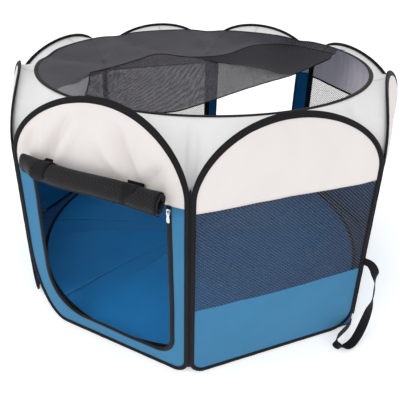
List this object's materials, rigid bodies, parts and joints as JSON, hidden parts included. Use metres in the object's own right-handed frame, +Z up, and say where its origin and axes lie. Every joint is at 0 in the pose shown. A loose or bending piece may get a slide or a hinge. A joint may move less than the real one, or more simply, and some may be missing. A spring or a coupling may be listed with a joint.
{
  "type": "pet playpen",
  "caption": "Pop-up pet playpen with arched fabric walls on spring-wire hoops, mesh windows, zipped doors with rolled flaps and a zipped mesh cover.",
  "frame": {"origin": "on the ground under the middle of the floor", "axes": "+Z up, the front door faces -Y, +X to the right of someone who faces the front door"},
  "size_m": [1.1083, 1.1618, 0.6056],
  "materials": {
    "spring_wire": "bare spring steel, satin",
    "binding": "woven polyester tape, matt black",
    "light_fabric": "coated oxford cloth, warm light grey",
    "blue_fabric": "coated oxford cloth, mid blue",
    "floor_fabric": "coated oxford cloth, deep blue, slightly shiny",
    "window_mesh": "knitted polyester mesh, black, see-through",
    "cover_mesh": "fine knitted mesh, charcoal, see-through",
    "zip_tape": "woven zip tape and coil, black",
    "zip_metal": "plated die-cast zinc",
    "webbing": "polyester webbing, black"
  },
  "bodies": {
    "wall_1": {"hoop_wire_1": "spring_wire", "hoop_binding_1": "binding", "upper_fabric_1": "light_fabric", "front_door_surround": "blue_fabric", "front_door_zip": "zip_tape", "front_door_flap_roll": "window_mesh", "front_door_tie_left": "webbing", "front_door_tie_right": "webbing", "floor_panel": "floor_fabric", "floor_binding": "binding", "floor_border": "floor_fabric", "yoke": "light_fabric", "top_zip_ring": "zip_tape", "mesh_cover": "cover_mesh"},
    "wall_2": {"hoop_wire_2": "spring_wire", "hoop_binding_2": "binding", "upper_fabric_2": "light_fabric", "mesh_window_2": "window_mesh", "lower_fabric_2": "blue_fabric"},
    "wall_3": {"hoop_wire_3": "spring_wire", "hoop_binding_3": "binding", "upper_fabric_3": "light_fabric", "mesh_window_3": "window_mesh", "lower_fabric_3": "blue_fabric"},
    "wall_4": {"hoop_wire_4": "spring_wire", "hoop_binding_4": "binding", "upper_fabric_4": "light_fabric", "mesh_window_4": "window_mesh", "lower_fabric_4": "blue_fabric"},
    "wall_5": {"hoop_wire_5": "spring_wire", "hoop_binding_5": "binding", "upper_fabric_5": "light_fabric", "back_door_surround": "blue_fabric", "back_door_zip": "zip_tape", "back_door_flap_roll": "window_mesh", "back_door_tie_left": "webbing", "back_door_tie_right": "webbing"},
    "wall_6": {"hoop_wire_6": "spring_wire", "hoop_binding_6": "binding", "upper_fabric_6": "light_fabric", "mesh_window_6": "window_mesh", "lower_fabric_6": "blue_fabric"},
    "wall_7": {"hoop_wire_7": "spring_wire", "hoop_binding_7": "binding", "upper_fabric_7": "light_fabric", "mesh_window_7": "window_mesh", "lower_fabric_7": "blue_fabric"},
    "wall_8": {"hoop_wire_8": "spring_wire", "hoop_binding_8": "binding", "upper_fabric_8": "light_fabric", "mesh_window_8": "window_mesh", "lower_fabric_8": "blue_fabric"},
    "front_door_slider": {"front_door_slider": "zip_metal"},
    "front_door_pull": {"front_door_pull": "zip_metal"},
    "back_door_slider": {"back_door_slider": "zip_metal"},
    "back_door_pull": {"back_door_pull": "zip_metal"},
    "cover_slider": {"cover_slider": "zip_metal"},
    "cover_pull": {"cover_pull": "zip_metal"},
    "closing_strap": {"closing_strap": "webbing"}
  },
  "joints": [
    {"name": "seam_1_fold", "type": "hinge", "parent": "wall_1", "child": "wall_2", "pos_m": [0.22004, -0.53123, 0.25], "axis": [0, 0, -1], "range_deg": [0, 105], "deforming": ["floor_panel", "floor_binding", "floor_border", "yoke", "top_zip_ring", "mesh_cover"]},
    {"name": "seam_2_fold", "type": "hinge", "parent": "wall_2", "child": "wall_3", "pos_m": [0.52823, -0.2188, 0.25], "axis": [0, 0, 1], "range_deg": [0, 105]},
    {"name": "seam_3_fold", "type": "hinge", "parent": "wall_3", "child": "wall_4", "pos_m": [0.53123, 0.22004, 0.25], "axis": [0, 0, -1], "range_deg": [0, 105]},
    {"name": "seam_8_fold", "type": "hinge", "parent": "wall_1", "child": "wall_8", "pos_m": [-0.2188, -0.52823, 0.25], "axis": [0, 0, -1], "range_deg": [0, 105]},
    {"name": "seam_7_fold", "type": "hinge", "parent": "wall_8", "child": "wall_7", "pos_m": [-0.53123, -0.22004, 0.25], "axis": [0, 0, 1], "range_deg": [0, 105]},
    {"name": "seam_6_fold", "type": "hinge", "parent": "wall_7", "child": "wall_6", "pos_m": [-0.52823, 0.2188, 0.25], "axis": [0, 0, -1], "range_deg": [0, 105]},
    {"name": "seam_5_fold", "type": "hinge", "parent": "wall_6", "child": "wall_5", "pos_m": [-0.22004, 0.53123, 0.25], "axis": [0, 0, 1], "range_deg": [0, 105]},
    {"name": "front_door_zip_slide", "type": "slide", "parent": "wall_1", "child": "front_door_slider", "axis": [0.0162, 0, -0.9999], "range_m": [0, 0.21]},
    {"name": "front_door_pull_swing", "type": "hinge", "parent": "front_door_slider", "child": "front_door_pull", "pos_m": [0.17619, -0.53843, 0.425], "axis": [-0.9999, 0, -0.0162], "range_deg": [0, 165]},
    {"name": "back_door_zip_slide", "type": "slide", "parent": "wall_5", "child": "back_door_slider", "axis": [-0.0162, 0, -0.9999], "range_m": [0, 0.21]},
    {"name": "back_door_pull_swing", "type": "hinge", "parent": "back_door_slider", "child": "back_door_pull", "pos_m": [-0.17619, 0.53843, 0.425], "axis": [0.9999, 0, -0.0162], "range_deg": [0, 165]},
    {"name": "cover_zip_slide", "type": "hinge", "parent": "wall_4", "child": "cover_slider", "pos_m": [0, 0, 0.583], "axis": [0, 0, -1], "range_deg": [0, 148]},
    {"name": "cover_pull_swing", "type": "hinge", "parent": "cover_slider", "child": "cover_pull", "pos_m": [0.35713, 0.29545, 0.5889], "axis": [0.7705, 0.6374, 0], "range_deg": [0, 165]},
    {"name": "strap_swing", "type": "hinge", "parent": "wall_2", "child": "closing_strap", "pos_m": [0.53123, -0.22004, 0.11], "axis": [0, 0, 1], "range_deg": [-15, 60]}
  ],
  "couplings": [
    {"joint": "seam_2_fold", "follows": "seam_1_fold", "ratio": 1},
    {"joint": "seam_3_fold", "follows": "seam_1_fold", "ratio": 1},
    {"joint": "seam_8_fold", "follows": "seam_1_fold", "ratio": 1},
    {"joint": "seam_7_fold", "follows": "seam_1_fold", "ratio": 1},
    {"joint": "seam_6_fold", "follows": "seam_1_fold", "ratio": 1},
    {"joint": "seam_5_fold", "follows": "seam_1_fold", "ratio": 1}
  ]
}
